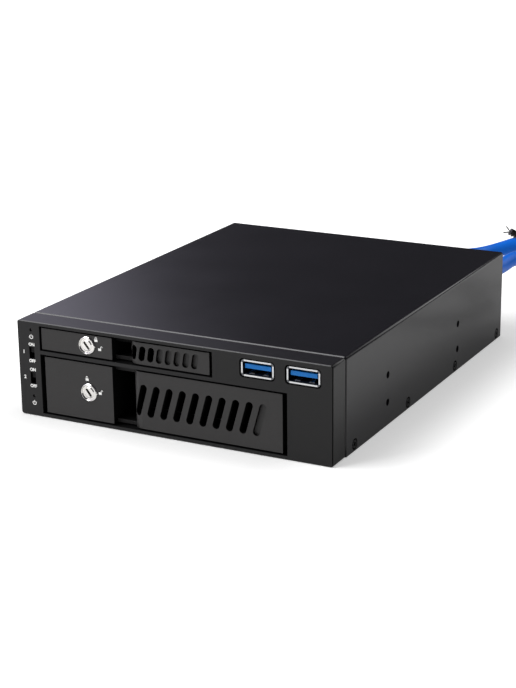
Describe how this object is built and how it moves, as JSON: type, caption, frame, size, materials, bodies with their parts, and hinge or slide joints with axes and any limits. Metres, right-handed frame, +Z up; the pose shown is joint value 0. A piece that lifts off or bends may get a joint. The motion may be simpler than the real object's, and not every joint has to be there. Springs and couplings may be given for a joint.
{
  "type": "optical bay drive rack",
  "caption": "Black metal drive-bay rack with lockable slide-out drive trays, vented swing levers, power switches and front USB ports, for a half-height optical bay.",
  "frame": {"origin": "middle of the base, under the centre of the rack's box without its leads", "axes": "+X to the right seen from the front, +Y from the front bezel to the back, +Z up"},
  "size_m": [0.2581, 0.2747, 0.0413],
  "materials": {
    "bezel_black": "fine satin",
    "cover_black": "fine powder coat",
    "rail_steel": "satin",
    "lock_nickel": "bright nickel",
    "plain_steel": "plain",
    "bush_brass": "plain",
    "port_chrome": "bright",
    "port_blue": "semi gloss",
    "guide_plastic": "matte",
    "socket_black": "matte",
    "slider_black": "matte",
    "board_green": "solder mask",
    "pipe_clear": "clear",
    "lead_blue": "satin",
    "grommet_rubber": "matte",
    "tie_black": "satin"
  },
  "bodies": {
    "chassis": {"front_bezel": "bezel_black", "top_cover": "cover_black", "base_pan": "cover_black", "rear_panel": "cover_black", "cover_screws": "cover_black", "mid_shelf": "cover_black", "rear_screws": "plain_steel", "board_standoffs": "plain_steel", "usb_shell_left": "port_chrome", "usb_shell_right": "port_chrome", "usb_insert_left": "port_blue", "usb_insert_right": "port_blue", "upper_guide_left": "guide_plastic", "upper_guide_right": "guide_plastic", "lower_guide_left": "guide_plastic", "lower_guide_right": "guide_plastic", "usb_board_spacers": "guide_plastic", "upper_drive_socket": "socket_black", "lower_drive_socket": "socket_black", "upper_data_port": "socket_black", "lower_data_port": "socket_black", "power_inlet": "socket_black", "upper_switch_housing": "socket_black", "lower_switch_housing": "socket_black", "header_plug": "socket_black", "backplane_board": "board_green", "switch_board": "board_green", "usb_board": "board_green", "light_pipes": "pipe_clear", "lead_left": "lead_blue", "lead_right": "lead_blue", "lead_coil": "lead_blue", "inner_leads": "lead_blue", "lead_grommets": "grommet_rubber", "lead_tie": "tie_black"},
    "upper_tray": {"upper_tray_front": "bezel_black", "upper_tray_rails": "rail_steel", "upper_lever_pin": "plain_steel", "upper_lock_bush": "bush_brass"},
    "upper_lever": {"upper_lever": "bezel_black"},
    "upper_lock": {"upper_lock_plug": "lock_nickel", "upper_lock_cam": "plain_steel"},
    "lower_tray": {"lower_tray_front": "bezel_black", "lower_tray_rails": "rail_steel", "lower_lever_pin": "plain_steel", "lower_lock_bush": "bush_brass"},
    "lower_lever": {"lower_lever": "bezel_black"},
    "lower_lock": {"lower_lock_plug": "lock_nickel", "lower_lock_cam": "plain_steel"},
    "upper_switch": {"upper_switch_slider": "slider_black"},
    "lower_switch": {"lower_switch_slider": "slider_black"}
  },
  "joints": [
    {"name": "upper_tray_slide", "type": "slide", "parent": "chassis", "child": "upper_tray", "axis": [0, -1, 0], "range_m": [0, 0.145]},
    {"name": "upper_lever_hinge", "type": "hinge", "parent": "upper_tray", "child": "upper_lever", "pos_m": [0.0141, -0.0964, 0.014], "axis": [0, 0, 1], "range_deg": [0, 70]},
    {"name": "upper_lock_turn", "type": "hinge", "parent": "upper_tray", "child": "upper_lock", "pos_m": [-0.0386, -0.0995, 0.0343], "axis": [0, -1, 0], "range_deg": [0, 90]},
    {"name": "lower_tray_slide", "type": "slide", "parent": "chassis", "child": "lower_tray", "axis": [0, -1, 0], "range_m": [0, 0.145]},
    {"name": "lower_lever_hinge", "type": "hinge", "parent": "lower_tray", "child": "lower_lever", "pos_m": [0.0462, -0.0964, 0.014], "axis": [0, 0, 1], "range_deg": [0, 70]},
    {"name": "lower_lock_turn", "type": "hinge", "parent": "lower_tray", "child": "lower_lock", "pos_m": [-0.03845, -0.0995, 0.014], "axis": [0, -1, 0], "range_deg": [0, 90]},
    {"name": "upper_switch_slide", "type": "slide", "parent": "chassis", "child": "upper_switch", "axis": [0, 0, -1], "range_m": [0, 0.0022]},
    {"name": "lower_switch_slide", "type": "slide", "parent": "chassis", "child": "lower_switch", "axis": [0, 0, -1], "range_m": [0, 0.0022]}
  ]
}
